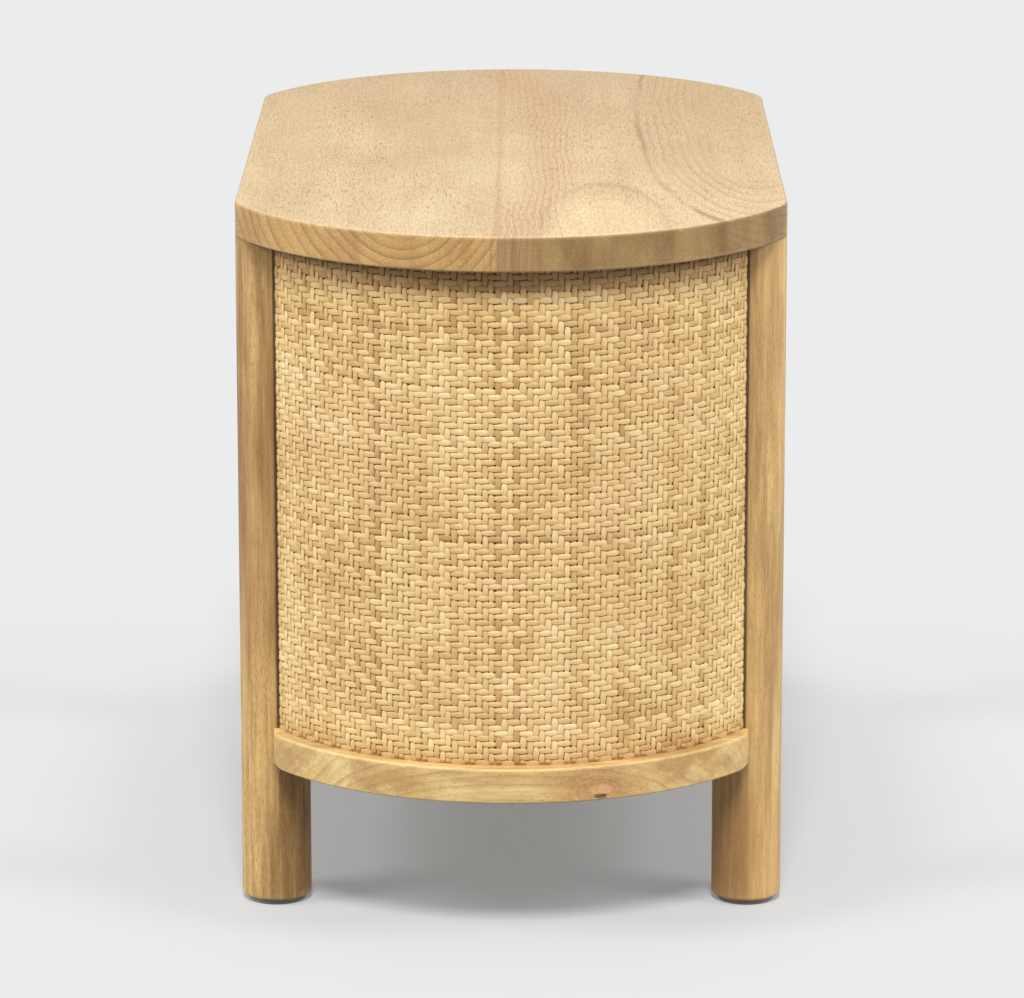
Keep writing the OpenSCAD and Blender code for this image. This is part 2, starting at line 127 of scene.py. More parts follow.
def loft(name, rings, edges, grain_of, body, slot, nodes):
    """Joins closed rings of points into a skin with a cap at each end."""
    count = len(rings[0])
    points = np.array([p for ring in rings for p in ring], float)
    faces = []
    for k in range(len(rings) - 1):
        a, b = k * count, (k + 1) * count
        for i in range(count):
            j = (i + 1) % count
            faces.append((a + i, a + j, b + j, b + i))
    last = (len(rings) - 1) * count
    faces.append(tuple(range(count - 1, -1, -1)))
    faces.append(tuple(range(last, last + count)))
    edge = np.array([e for ring in edges for e in ring], float)
    piece = mesh_piece(name, points, faces, body, slot, nodes, grain_of(points), edge)
    flip_if_inside_out(piece.data)
    return piece


def flip_if_inside_out(mesh):
    """Turns every face over if the mesh encloses a negative volume."""
    corners = np.zeros(len(mesh.vertices) * 3)
    mesh.vertices.foreach_get("co", corners)
    corners = corners.reshape(-1, 3)
    mesh.calc_loop_triangles()
    triangles = np.zeros(len(mesh.loop_triangles) * 3, np.int32)
    mesh.loop_triangles.foreach_get("vertices", triangles)
    a, b, c = (corners[triangles.reshape(-1, 3)[:, k]] for k in range(3))
    if np.einsum("ij,ij->i", a, np.cross(b, c)).sum() < 0:
        mesh.flip_normals()


def grain_along(axis, name, origin=(0, 0, 0)):
    """Grain coordinates for straight boards: along, across and through, shifted so no two boards match."""
    order = {"x": [0, 1, 2], "y": [1, 0, 2], "z": [2, 0, 1]}[axis]
    shift = seeded(name).uniform(-0.02, 0.02, 3) + [seeded(name).uniform(0, 9), 0, 0]
    return lambda points: (points - np.array(origin, float))[:, order] + shift


def grain_across_end(name, side):
    """Grain coordinates of a curved rail cut from a straight plank that lies across the end."""
    shift = [seeded(name).uniform(0, 9), 0, 0]

    def coordinates(points):
        return np.stack([side * points[:, 1], side * points[:, 0] - END_CENTRE, points[:, 2]], 1) + shift

    return coordinates


def section(low, high, ease, inset=0.0, steps=3):
    """A rectangle with eased corners: rows of (a, b, edge wear), with a clean row just beside each corner."""
    ring = []
    support = 1.6 * ease
    r = max(ease - inset, 0.15 * ease)
    for corner in range(4):
        turn = corner * math.pi / 2
        sign_a = 1 if corner in (0, 3) else -1
        sign_b = 1 if corner in (0, 1) else -1
        at_a = (high[0] if sign_a > 0 else low[0]) - sign_a * inset
        at_b = (high[1] if sign_b > 0 else low[1]) - sign_b * inset
        arc = []
        for k in range(steps + 1):
            angle = turn + k * math.pi / 2 / steps
            a = at_a - sign_a * r + r * math.cos(angle)
            b = at_b - sign_b * r + r * math.sin(angle)
            arc.append((a, b, 1.0))
        before = (at_a, at_b - sign_b * support, 0.0)
        after = (at_a - sign_a * support, at_b, 0.0)
        if corner in (1, 3):
            before, after = after, before
        ring += [before] + arc + [after]
    return ring


def node_board(node, axis, body, slot):
    """A straight board in a CAD node's place, with eased edges and its grain along the given axis."""
    ease = 0.8 * MM
    along = "xyz".index(axis)
    rest = [k for k in range(3) if k != along]
    low, high = (np.array(corner, float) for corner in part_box(node))
    name = node + "_board"
    steps = [(0, ease), (0.3 * ease, 0.3 * ease), (ease, 0), (2 * ease, 0)]
    stations = [(low[along] + step, inset) for step, inset in steps]
    stations += [(high[along] - step, inset) for step, inset in reversed(steps)]
    rings, edges = [], []
    for t, inset in stations:
        flat = section(low[rest], high[rest], ease, inset)
        wear_all = t < low[along] + 1.5 * ease or t > high[along] - 1.5 * ease
        ring = np.zeros((len(flat), 3))
        ring[:, along] = t
        ring[:, rest[0]] = [p[0] for p in flat]
        ring[:, rest[1]] = [p[1] for p in flat]
        rings.append(ring)
        edges.append([1.0 if wear_all else p[2] for p in flat])
    loft(name, rings, edges, grain_along(axis, name), body, slot, [node])


def turned(name, centre, profile, axis, body, slot, nodes, grain_of, sides=96):
    """A turned piece: profile rows are (radius, distance along the axis, edge wear)."""
    rings, edges = [], []
    for r, t, wear in profile:
        ring = []
        for k in range(sides):
            angle = 2 * math.pi * k / sides
            a, b = r * math.cos(angle), r * math.sin(angle)
            offset = (a, b, t) if axis == "z" else (a, t, b)
            ring.append([centre[i] + offset[i] for i in range(3)])
        rings.append(ring)
        edges.append([wear] * sides)
    loft(name, rings, edges, grain_of, body, slot, nodes)


def quarter_circle(steps):
    """Rows of (1 - cosine, 1 - sine) over a quarter turn."""
    angles = [k * math.pi / (2 * steps) for k in range(steps + 1)]
    return [(1 - math.cos(angle), 1 - math.sin(angle)) for angle in angles]


def plan_outline(inset, fillet):
    """The plan of the top, drawn in by inset, with its four corners rounded by fillet."""
    arc_steps, fillet_steps = 48, 8
    r = END_RADIUS - inset
    half_depth = HALF_DEPTH - inset
    f = max(fillet - inset, 0.2 * MM)
    centre_x = END_CENTRE + math.sqrt((r - f) ** 2 - (half_depth - f) ** 2)
    tangent = math.atan2(half_depth - f, centre_x - END_CENTRE)
    quarter = []
    for k in range(arc_steps + 1):
        angle = tangent * k / arc_steps
        quarter.append((END_CENTRE + r * math.cos(angle), r * math.sin(angle)))
    for k in range(1, fillet_steps + 1):
        angle = tangent + (math.pi / 2 - tangent) * k / fillet_steps
        quarter.append((centre_x + f * math.cos(angle), half_depth - f + f * math.sin(angle)))
    outline = list(quarter)
    outline += [(-x, y) for x, y in reversed(quarter)]
    outline += [(-x, -y) for x, y in quarter[1:]]
    outline += [(x, -y) for x, y in reversed(quarter[1:])]
    return outline


def make_top():
    ease, fillet = 1.8 * MM, 36 * MM
    rounded = [(ease * b, ease * a, 1) for a, b in quarter_circle(4)]
    side = [(2.2 * ease, 0, 0)] + rounded + [(0, 1.8 * ease, 0)]
    rows = [(inset, TOP_LOW.z + up, wear) for inset, up, wear in side]
    rows += [(inset, TOP_HIGH.z - up, wear) for inset, up, wear in reversed(side)]
    rings, edges = [], []
    for inset, z, wear in rows:
        rings.append([(x, y, z) for x, y in plan_outline(inset, fillet)])
        edges.append([wear] * len(rings[-1]))
    loft("top", rings, edges, lambda points: points, "carcass", "top_wood", ["top_slab"])


def make_legs():
    """Four turned legs with softly rounded feet."""
    for name, x, y in [("front_left_leg", -LEG_X, -LEG_Y), ("front_right_leg", LEG_X, -LEG_Y),
                       ("back_left_leg", -LEG_X, LEG_Y), ("back_right_leg", LEG_X, LEG_Y)]:
        foot, round_r = LEG_LOW.z, 3.2 * MM
        profile = [(LEG_R - 2.2 * round_r, foot, 0)]
        profile += [(LEG_R - round_r * b, foot + round_r * a, 1) for a, b in quarter_circle(5)]
        profile += [(LEG_R, foot + 2.2 * round_r, 0), (LEG_R, UNDER_TOP - 1 * MM, 0), (LEG_R, UNDER_TOP, 0)]
        grain = grain_along("z", name, (x, y, 0))
        turned(name + "_turned", (x, y, 0), profile, "z", "carcass", "leg_wood", [name], grain)


def coped_angle(r):
    """The half angle at which a circle of radius r about an end's centre meets the leg."""
    reach = math.hypot(LEG_X - END_CENTRE, LEG_Y)
    turn = math.atan2(LEG_Y, LEG_X - END_CENTRE)
    share = (r * r + reach * reach - LEG_R ** 2) / (2 * r * reach)
    return turn - math.acos(min(1.0, share))


def end_rail_section():
    """The rail's cross-section, with extra points on its top and bottom so that it can fit round a leg."""
    inner, outer = END_RAIL_R - RAIL_WIDTH, END_RAIL_R
    flat = section((inner, RAIL_LOW.z), (outer, RAIL_HIGH.z), 1.6 * MM, steps=4)
    count = len(flat) // 4
    corners = [flat[k * count:(k + 1) * count] for k in range(4)]
    between = [inner + RAIL_WIDTH * share for share in (0.25, 0.45, 0.62)]
    between.append(math.hypot(LEG_X + LEG_R - END_CENTRE, LEG_Y))
    top = [(r, RAIL_HIGH.z, 0.0) for r in reversed(between)]
    bottom = [(r, RAIL_LOW.z, 0.0) for r in between]
    return corners[0] + top + corners[1] + corners[2] + bottom + corners[3]


def make_end_rails():
    """Curved rails that stop in line with the legs' axes, their outer corners sanded round."""
    corner, half_steps = 9 * MM, 48
    sanded_depth, sanded_height, sanded_reach = 3 * MM, 0.35, 0.6
    closed_height = 0.02
    meets_leg = math.hypot(LEG_X + LEG_R - END_CENTRE, LEG_Y) - 0.1 * MM
    middle = (RAIL_LOW.z + RAIL_HIGH.z) / 2
    flat = end_rail_section()
    ends = [(LEG_Y - corner * a, corner * b) for a, b in quarter_circle(6)[:-1]]
    half_turn = math.asin((LEG_Y - corner) / END_RAIL_R)
    turns = [half_turn * (k / half_steps - 1) for k in range(2 * half_steps + 1)]
    straight = [(END_RAIL_R * math.sin(turn), 0.0) for turn in turns]
    stations = [(-y, drop) for y, drop in ends] + straight + [(y, drop) for y, drop in reversed(ends)]
    for side, name in [(RIGHT, "right_end_rail"), (LEFT, "left_end_rail")]:
        rings, edges = [], []
        for y_face, drop in stations:
            share = math.asin(y_face / END_RAIL_R) / math.asin(LEG_Y / END_RAIL_R)
            ring = []
            for r, z, _ in flat:
                height, reach = z, r
                if r > END_RAIL_R - sanded_depth:
                    height = z + sanded_height * drop * (1 if z < middle else -1)
                    reach = r - sanded_reach * drop
                angle = math.asin(y_face / reach) if r > meets_leg else share * coped_angle(r)
                x = END_CENTRE + reach * math.cos(angle)
                ring.append((side * x, side * reach * math.sin(angle), height))
            rings.append(ring)
            edges.append([max(p[2], min(1.0, 2 * drop / corner)) for p in flat])
        for at in (0, len(rings)):
            beside = rings[at - 1 if at else 0]
            closing = [(x, y, middle + closed_height * (z - middle)) for x, y, z in beside]
            rings.insert(at, closing)
            edges.insert(at, [0.0] * len(closing))
        grain = grain_across_end(name, side)
        loft(name + "_bent", rings, edges, grain, "carcass", "rail_wood", [name])


def make_straight_rails():
    """Straight base rails, hollowed at their ends to fit round the legs."""
    for name in ("front_base_rail", "back_base_rail"):
        low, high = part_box(name)
        leg_y = math.copysign(LEG_Y, low.y)
        flat = section((low.y, low.z), (high.y, high.z), 1.6 * MM, steps=4)
        rings, edges = [], []
        for share in (-1, -0.5, 0, 0.5, 1):
            ring = []
            for y, z, _ in flat:
                half = LEG_X - math.sqrt(max(LEG_R ** 2 - (y - leg_y) ** 2, 0))
                ring.append((share * half, y, z))
            rings.append(ring)
            edges.append([p[2] for p in flat])
        grain = grain_along("x", name)
        loft(name + "_straight", rings, edges, grain, "carcass", "rail_wood", [name])


# ---- weave

STRAND_GAP = 0.02
RAGGED_ENDS = 1.4 * MM
SPLINT_THICKNESS = 1.05 * MM
# How far a strand rises and falls about the middle of the sheet
WEAVE_LIFT = 0.48 * MM
# The height of a splint's edges, as a share of its thickness, and the points round its cross-section
SHOULDERS = {"weft": 0.25, "warp": 0.0}
SIDES = 6
# Splints across and up one end, the gap between the sheet and the leg, and the drawers' pitch across and up
END_COUNTS = (91, 84)
END_GAP = 2.4 * MM
DRAWER_PITCH = (4.85 * MM, 4.7 * MM)


def wandering(rng, samples, every, spread):
    """Random values for every so many samples, joined by straight lines."""
    stops = np.arange(0, samples + every, every)
    return np.interp(np.arange(samples), stops, rng.normal(0, spread, len(stops)))


def strand_rows(rng, at, pitch, over, half_width, shoulder):
    """One strand: its points as (along, across, height), and how high each lies between -1 and 1."""
    samples = 2 * len(over)
    index = np.arange(samples)
    rise = np.where(np.array(over)[index // 2], 1.0, -1.0)
    mid_float = (np.roll(rise, 1) == rise) & (np.roll(rise, -1) == rise)
    crown = np.where(mid_float, 1.10, 0.88)
    bulge = 1 + 0.12 * rng.standard_normal(samples // 4 + 2)[(index + 2) // 4]
    height = WEAVE_LIFT * rise * crown * np.where(rise > 0, bulge, 1.0)
    drift_every, width_every = 24, 40
    drift = wandering(rng, samples, drift_every, 0.035 * pitch)
    width = half_width * (1 + wandering(rng, samples, width_every, 0.03))
    width *= np.where(mid_float, 1.04, 0.84)
    across_share = np.array([-1.0, -0.78, 0.0, 0.78, 1.0, 0.0])
    dome = np.array([shoulder, 0.41, 0.5, 0.41, shoulder, -0.5]) * SPLINT_THICKNESS
    points = np.zeros((samples, SIDES, 3))
    points[:, :, 0] = ((index + 0.5) * pitch / 2)[:, None]
    points[:, :, 1] = at + drift[:, None] + width[:, None] * across_share
    points[:, :, 2] = height[:, None] + dome
    return points.reshape(-1, 3), (points[:, :, 2] / (WEAVE_LIFT + SPLINT_THICKNESS / 2)).ravel()


def strand_faces(start, samples):
    """The skin of one strand, whose points begin at start."""
    ring = np.arange(SIDES)
    first = start + SIDES * np.arange(samples - 1)[:, None]
    a = first + ring
    b = first + (ring + 1) % SIDES
    return np.stack([a, b, b + SIDES, a + SIDES], -1).reshape(-1, 4).tolist()


def weave(name, width, height, place, counts, body):
    """A twill of flat splints, each strand passing over two and under two: one mesh for each direction."""
    columns, rows = counts
    rng = seeded(name)
    for kind in ("weft", "warp"):
        is_weft = kind == "weft"
        strands, crossings = (rows, columns) if is_weft else (columns, rows)
        along_pitch = width / columns if is_weft else height / rows
        across_pitch = height / rows if is_weft else width / columns
        samples = 2 * crossings
        points, relief, tint, grain, faces, caps = [], [], [], [], [], []
        for n in range(strands):
            over = [((k + n) % 4 < 2) == is_weft for k in range(crossings)]
            at = (n + 0.5 + rng.uniform(-0.10, 0.10)) * across_pitch
            half_width = across_pitch * (0.5 - STRAND_GAP) * (1 + 0.04 * rng.standard_normal())
            flat, height_share = strand_rows(rng, at, along_pitch, over, half_width, SHOULDERS[kind])
            shade = rng.uniform()
            seed = rng.uniform(0, 50)
            if is_weft:
                trim = rng.uniform(0, RAGGED_ENDS, 2)
                flat[:, 0] = np.clip(flat[:, 0], trim[0], width - trim[1])
            s, t = (flat[:, 0], flat[:, 1]) if is_weft else (flat[:, 1], flat[:, 0])
            points.append(place(s - width / 2, t, flat[:, 2]))
            relief.append(height_share)
            tint.append(np.full(len(flat), shade))
            grain.append(np.stack([flat[:, 0], flat[:, 1] - at, np.full(len(flat), seed)], 1))
            start = n * SIDES * samples
            last = start + SIDES * (samples - 1)
            faces += strand_faces(start, samples)
            caps += [range(start + SIDES - 1, start - 1, -1), range(last, last + SIDES)]
        faces = [tuple(face) for face in faces + caps]
        values = {"tint": np.concatenate(tint), "relief": np.concatenate(relief)}
        piece = mesh_piece(name + "_" + kind, np.concatenate(points), faces, body, "rattan",
                           [name] if is_weft else [], np.concatenate(grain), values=values, smooth=180)
        flip_if_inside_out(piece.data)


def make_end_weaves():
    middle = (WEAVE_R + BACKING_R) / 2
    half_angle = coped_angle(WEAVE_R) - END_GAP / WEAVE_R
    width = 2 * half_angle * WEAVE_R
    low = WEAVE_LOW.z
    height = WEAVE_HIGH.z - WEAVE_LOW.z
    for side, name in [(RIGHT, "right_woven_panel"), (LEFT, "left_woven_panel")]:
        def place(s, t, h, side=side):
            angle = s / WEAVE_R
            r = middle + h
            return np.stack([side * (END_CENTRE + r * np.cos(angle)), side * r * np.sin(angle), low + t], 1)
        weave(name, width, height, place, END_COUNTS, "carcass")


def make_drawer_weaves():
    for level in LEVELS:
        node = level + "_drawer_weave"
        low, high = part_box(node)
        middle = (low.y + high.y) / 2

        def place(s, t, h, middle=middle, low=low):
            return np.stack([s, middle - h, low.z + t], 1)
        width, height = high.x - low.x, high.z - low.z
        counts = (round(width / DRAWER_PITCH[0]), round(height / DRAWER_PITCH[1]))
        weave(node, width, height, place, counts, level + "_drawer")


# ---- drawers

def rect_ring(half_width, z_low, z_high, y, corner):
    """A rectangle with round corners, upright in the plane of a drawer front."""
    ring = []
    steps = 5
    for k in range(4):
        cx = (half_width - corner) * (1 if k in (0, 3) else -1)
        cz = (z_high - corner) if k in (0, 1) else (z_low + corner)
        for step in range(steps + 1):
            angle = k * math.pi / 2 + step * math.pi / 2 / steps
            ring.append((cx + corner * math.cos(angle), y, cz + corner * math.sin(angle)))
    return ring


def make_drawer_front(level):
    """A frame with a sunk field for the woven panel."""
    node = level + "_drawer_front"
    low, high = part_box(node)
    weave_low, weave_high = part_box(level + "_drawer_weave")
    room, ease = 0.05 * MM, 1.6 * MM
    outer_r, inner_r = 3.0 * MM, 2.0 * MM
    rings, edges = [], []

    def ring(grow, y, wear, inside=False):
        if inside:
            out, corner = room + grow, inner_r + grow
            rings.append(rect_ring(weave_high.x + out, weave_low.z - out, weave_high.z + out, y, corner))
        else:
            corner = max(outer_r - grow, 0.5 * MM)
            rings.append(rect_ring(high.x - grow, low.z + grow, high.z - grow, y, corner))
        edges.append([wear] * len(rings[-1]))

    ring(2 * ease, high.y, 0)
    ring(0.5 * MM, high.y, 1)
    ring(0, high.y - 0.5 * MM, 1)
    ring(0, high.y - 1.5 * MM, 0)
    ring(0, low.y + 2 * ease, 0)
    for a, b in quarter_circle(4):
        ring(ease * a, low.y + ease * b, 1)
    ring(2 * ease, low.y, 0)
    ring(2 * ease, low.y, 0, True)
    for a, b in quarter_circle(4):
        ring(ease * b, low.y + ease * a, 1, True)
    ring(0, low.y + 2 * ease, 0, True)
    ring(0, weave_high.y, 0, True)
    grain = grain_along("x", node)
    loft(node + "_frame", rings, edges, grain, level + "_drawer", "front_wood", [node])


def make_knob(level):
    node = level + "_knob"
    low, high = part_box(node)
    r = (high.x - low.x) / 2
    centre = ((high.x + low.x) / 2, 0, (high.z + low.z) / 2)
    base, tip = high.y, low.y
    length = base - tip
    waist, waist_at, flare = 0.48 * r, 0.25, 0.12 * r
    widest_at, head_back, head_front = 0.67, 0.20, 0.33
    profile = []
    for k in range(9):
        along = 0.05 * k
        profile.append((waist + flare * (along / waist_at - 1) ** 2, base - length * along, 0))
    for degrees in range(-56, 89, 8):
        turn = math.radians(degrees)
        along = widest_at + (head_back if degrees < 0 else head_front) * math.sin(turn)
        profile.append((r * math.cos(turn), base - length * along, 1 if -30 < degrees < 40 else 0))
    grain = grain_along("x", node, centre)
    turned(node + "_turned", centre, profile, "y", level + "_drawer", "knob_wood", [node], grain, sides=64)


def make_drawer_box(level):
    body = level + "_drawer"
    for part in ("left_side", "right_side"):
        node_board(f"{level}_drawer_{part}", "y", body, "drawer_wood")
    node_board(level + "_drawer_back", "x", body, "drawer_wood")


# ---- materials

def srgb(r, g, b):
    """A colour as it looks on screen, from 0 to 255, as linear light."""
    def channel(c):
        c /= 255
        return c / 12.92 if c <= 0.04045 else ((c + 0.055) / 1.055) ** 2.4
    return (channel(r), channel(g), channel(b), 1.0)


class Graph:
    """A short way to write the nodes of a new material, or of the world."""

    def __init__(self, name, owner=None):
        self.owner = owner or bpy.data.materials.new(name)
        self.owner.use_nodes = True
        self.tree = self.owner.node_tree
        self.tree.nodes.clear()

    def node(self, kind, inputs=None, **settings):
        node = self.tree.nodes.new(kind)
        for key, value in settings.items():
            setattr(node, key, value)
        for key, value in (inputs or {}).items():
            self.put(node.inputs[key], value)
        return node

    def put(self, socket, value):
        if isinstance(value, bpy.types.NodeSocket):
            self.tree.links.new(value, socket)
        else:
            socket.default_value = value

    def math(self, operation, a, b=0.0, clamp=False):
        return self.node("ShaderNodeMath", {0: a, 1: b}, operation=operation, use_clamp=clamp).outputs[0]

    def plus(self, a, b):
        return self.math("ADD", a, b)

    def minus(self, a, b):
        return self.math("SUBTRACT", a, b)

    def times(self, a, b, clamp=False):
        return self.math("MULTIPLY", a, b, clamp)

    def size(self, a):
        return self.math("ABSOLUTE", a)

    def larger(self, a, b):
        return self.math("MAXIMUM", a, b)

    def above(self, a, b):
        """One where a is above b, and zero elsewhere."""
        return self.math("GREATER_THAN", a, b)

    def near(self, value, middle, full, none, share):
        """A share that holds within full of the middle and fades to nothing at none from it."""
        return self.range(self.size(self.minus(value, middle)), full, none, share, 0.0)

    def vector(self, operation, a, b=(0, 0, 0)):
        node = self.node("ShaderNodeVectorMath", {0: a, 1: b}, operation=operation)
        return node.outputs["Value" if operation in ("LENGTH", "DOT_PRODUCT") else "Vector"]

    def attribute(self, name, vector=False):
        node = self.node("ShaderNodeAttribute", attribute_name=name)
        return node.outputs["Vector" if vector else "Fac"]

    def object_coordinates(self, order):
        """A CAD node's own coordinates, the first along the grain, and shifted so that no two nodes match."""
        parts = self.split(self.place())
        shift = self.times(self.node("ShaderNodeObjectInfo").outputs["Random"], 7.0)
        sockets = [parts["XYZ".index(c)] for c in order]
        sockets[0] = self.plus(sockets[0], shift)
        return self.join(*sockets)

    def place(self):
        """Where a point is in the shared frame."""
        return self.node("ShaderNodeTexCoord").outputs["Object"]

    def split(self, vector):
        return self.node("ShaderNodeSeparateXYZ", {0: vector}).outputs

    def join(self, x, y, z):
        return self.node("ShaderNodeCombineXYZ", {0: x, 1: y, 2: z}).outputs[0]

    def noise(self, vector, scale, detail=2.0, rough=0.5, distortion=0.0, output="Fac"):
        """Noise from 0 to 1. A scale of several numbers is along, across and, where it differs, through."""
        if isinstance(scale, tuple):
            vector = self.vector("MULTIPLY", vector, (scale[0], scale[1], scale[-1]))
            scale = 1.0
        inputs = {"Vector": vector, "Scale": scale, "Detail": detail, "Roughness": rough}
        inputs["Distortion"] = distortion
        return self.node("ShaderNodeTexNoise", inputs).outputs[output]

    def ramp(self, value, stops):
        """Turns a value into another along stops of (position, value or colour)."""
        node = self.node("ShaderNodeValToRGB", {0: value})
        elements = node.color_ramp.elements
        while len(elements) < len(stops):
            elements.new(0.5)
        for element, (position, colour) in zip(elements, stops):
            element.position = position
            element.color = colour if isinstance(colour, tuple) else (colour, colour, colour, 1.0)
        return node.outputs[0]

    def range(self, value, low, high, to_low=0.0, to_high=1.0):
        inputs = {"Value": value, "From Min": low, "From Max": high, "To Min": to_low, "To Max": to_high}
        return self.node("ShaderNodeMapRange", inputs, clamp=True).outputs["Result"]

    def mix(self, share, a, b):
        """Colour a, and colour b where the share is one."""
        return self.node("ShaderNodeMix", {0: share, 6: a, 7: b}, data_type="RGBA").outputs[2]

    def stain(self, colour, other, value, bare, full, share):
        """Lays a share of another colour where the value is full, and none of it where the value is bare."""
        return self.mix(self.range(value, bare, full, 0.0, share), colour, other)

    def mix_values(self, share, a, b):
        return self.node("ShaderNodeMix", {0: share, 2: a, 3: b}, data_type="FLOAT").outputs[0]

    def bump(self, height, distance, strength):
        inputs = {"Height": height, "Distance": distance, "Strength": strength}
        return self.node("ShaderNodeBump", inputs).outputs[0]

    def finish(self, colour, roughness, normal=None, metallic=0.0, **sockets):
        inputs = {"Base Color": colour, "Roughness": roughness, "Metallic": metallic}
        if normal is not None:
            inputs["Normal"] = normal
        inputs.update({key.replace("_", " "): value for key, value in sockets.items()})
        shader = self.node("ShaderNodeBsdfPrincipled", inputs)
        self.node("ShaderNodeOutputMaterial", {0: shader.outputs[0]})
        return self.owner


def ring_lines(g, distance, gap, strength):
    """Growth rings: each gets slowly darker and ends in a thin dark line. Strength may vary over the wood."""
    turns = g.math("DIVIDE", distance, gap)
    share = g.math("FRACT", turns)
    random = g.node("ShaderNodeTexWhiteNoise", {"W": g.math("FLOOR", turns)}, noise_dimensions="1D")
    year = g.range(random.outputs["Value"], 0.0, 1.0, 0.35, 1.0)
    tone = g.ramp(share, [(0.0, 0.25), (0.12, 0.0), (0.50, 0.12), (0.80, 0.50), (0.93, 1.0), (1.0, 0.25)])
    return g.times(tone, g.times(strength, year))


def fibres_and_pores(g, grain, pore_share):
    """Fine streaks along the grain, and the short dark pores of an open-grained wood."""
    fibre = g.noise(grain, (18.0, 380.0), detail=3.0, rough=0.6)
    fine = g.noise(grain, (90.0, 1500.0))
    spots = g.noise(grain, (210.0, 1500.0), detail=1.0)
    patches = g.noise(grain, (5.0, 60.0))
    limit = g.range(patches, 0.35, 0.65, 0.68 - 0.10 * pore_share, 0.60 - 0.10 * pore_share)
    pores = g.times(g.minus(spots, limit), 10.0, clamp=True)
    return fibre, fine, pores


def finish_wood(g, colour, fibre, pores, dullest=0.60):
    """The satin sheen and open pores of bare, oiled wood."""
    relief = g.minus(g.times(fibre, 0.5), pores)
    return g.finish(colour, g.range(fibre, 0.3, 0.7, 0.42, dullest), g.bump(relief, 0.25 * MM, 0.12))


def wood(name, palette, grain_order=None, centre=(0.03, -0.06), gap=9 * MM, ring_strength=0.5,
         blotch=(3.0, 22.0), heart_share=0.0, pore_share=0.5, marks=None):
    """Open-grained hardwood, perhaps with marks of its own.

    Palette rows: light, warm, dark and pore colours. The growth rings' centre is a point across the grain.
    """
    light, warm, dark, pore = palette
    g = Graph(name)
    grain = g.object_coordinates(grain_order) if grain_order else g.attribute("grain", vector=True)
    edge = g.attribute("edge")
    sway = g.noise(grain, (2.0, 11.0), output="Color")
    offset = g.vector("MULTIPLY", g.vector("SUBTRACT", sway, (0.5, 0.5, 0.5)), (0.0, 0.026, 0.026))
    swayed = g.vector("ADD", grain, offset)
    from_centre = g.vector("SUBTRACT", swayed, (0, *centre))
    distance = g.vector("LENGTH", g.vector("MULTIPLY", from_centre, (0.0, 1.0, 1.0)))
    wander = g.noise(grain, (1.2, 30.0))
    strength = g.range(wander, 0.35, 0.65, 0.35 * ring_strength, ring_strength)
    rings = ring_lines(g, distance, gap, strength)
    fibre, fine, pores = fibres_and_pores(g, grain, pore_share)
    patches = g.range(g.noise(grain, blotch, detail=3.0, rough=0.6), 0.34, 0.66)
    cloudy = g.noise(grain, (24.0, 60.0), detail=3.0, rough=0.65)
    colour = g.mix(patches, light, warm)
    colour = g.stain(colour, dark, cloudy, 0.45, 0.72, 0.30)
    if heart_share:
        heart = g.noise(g.vector("ADD", swayed, (3.0, 0.4, 0.7)), (3.0, 30.0), detail=3.0, rough=0.6)
        colour = g.stain(colour, dark, heart, 0.44, 0.58, heart_share)
    colour = g.mix(rings, colour, dark)
    if marks == "knot":
        colour = with_knot(g, colour, dark, fine, cloudy)
    colour = g.stain(colour, dark, fibre, 0.35, 0.75, 0.34)
    colour = g.stain(colour, light, fine, 0.4, 0.7, 0.18)
    colour = g.mix(g.times(pores, 0.42), colour, pore)
    colour = g.mix(g.times(edge, g.range(cloudy, 0.35, 0.65, 0.05, 0.40)), colour, light)
    if marks == "legs":
        colour = with_leg_tones(g, colour, light, dark, grain)
    return finish_wood(g, colour, fibre, pores)


def with_knot(g, colour, dark, fine, cloudy):
    """A pale eye in a reddish swirl of rings, and a dark split below it."""
    from_split = g.vector("MULTIPLY", g.vector("SUBTRACT", g.place(), KNOT_SPLIT), (0.5, 0.5, 1.0))
    from_split = g.plus(g.vector("LENGTH", from_split), g.range(fine, 0.3, 0.7, -0.5 * MM, 0.5 * MM))
    away = g.vector("MULTIPLY", g.vector("SUBTRACT", g.place(), KNOT_EYE), (0.42, 0.42, 1.0))
    away = g.plus(g.vector("LENGTH", away), g.range(cloudy, 0.3, 0.7, -1.5 * MM, 1.5 * MM))
    swirl = ring_lines(g, away, 2.8 * MM, g.range(away, 5 * MM, 17 * MM, 1.0, 0.0))
    colour = g.stain(colour, srgb(186, 130, 80), away, 22 * MM, 5 * MM, 0.6)
    colour = g.mix(swirl, colour, dark)
    colour = g.stain(colour, srgb(226, 176, 126), away, 4.2 * MM, 2.8 * MM, 0.75)
    shade = g.times(g.range(from_split, 3.0 * MM, 2.0 * MM), g.range(away, 2.8 * MM, 3.8 * MM))
    return g.mix(shade, colour, srgb(72, 42, 22))


def with_leg_tones(g, colour, light, dark, grain):
    """Long streaks, and the tones that set the legs apart: the two rows of legs aren't of one board. The back
    legs also get darker towards the foot, and painted shade darkens the strip beside the weave's cut edge.
    """
    streaks = g.noise(grain, (13.0, 260.0), detail=4.0, rough=0.7)
    colour = g.stain(colour, dark, streaks, 0.50, 0.64, 0.42)
    colour = g.stain(colour, light, streaks, 0.48, 0.36, 0.25)
    x, y, z = g.split(g.place())
    back = g.above(y, 0.0)
    colour = g.mix(g.times(g.minus(1.0, back), g.near(z, 0.31, 0.09, 0.17, 0.38)), colour, dark)
    colour = g.mix(g.times(back, 0.20), colour, srgb(252, 212, 146))
    # The back legs get darker towards the foot
    colour = g.mix(g.times(back, g.range(z, 0.12, 0.06, 0.0, 0.30)), colour, srgb(176, 112, 60))
    # Painted shade on the strip of the leg seen through the gap beside the weave
    return g.mix(g.times(weave_gap_shade(g, x, y, z), 0.85), colour, srgb(64, 38, 22))


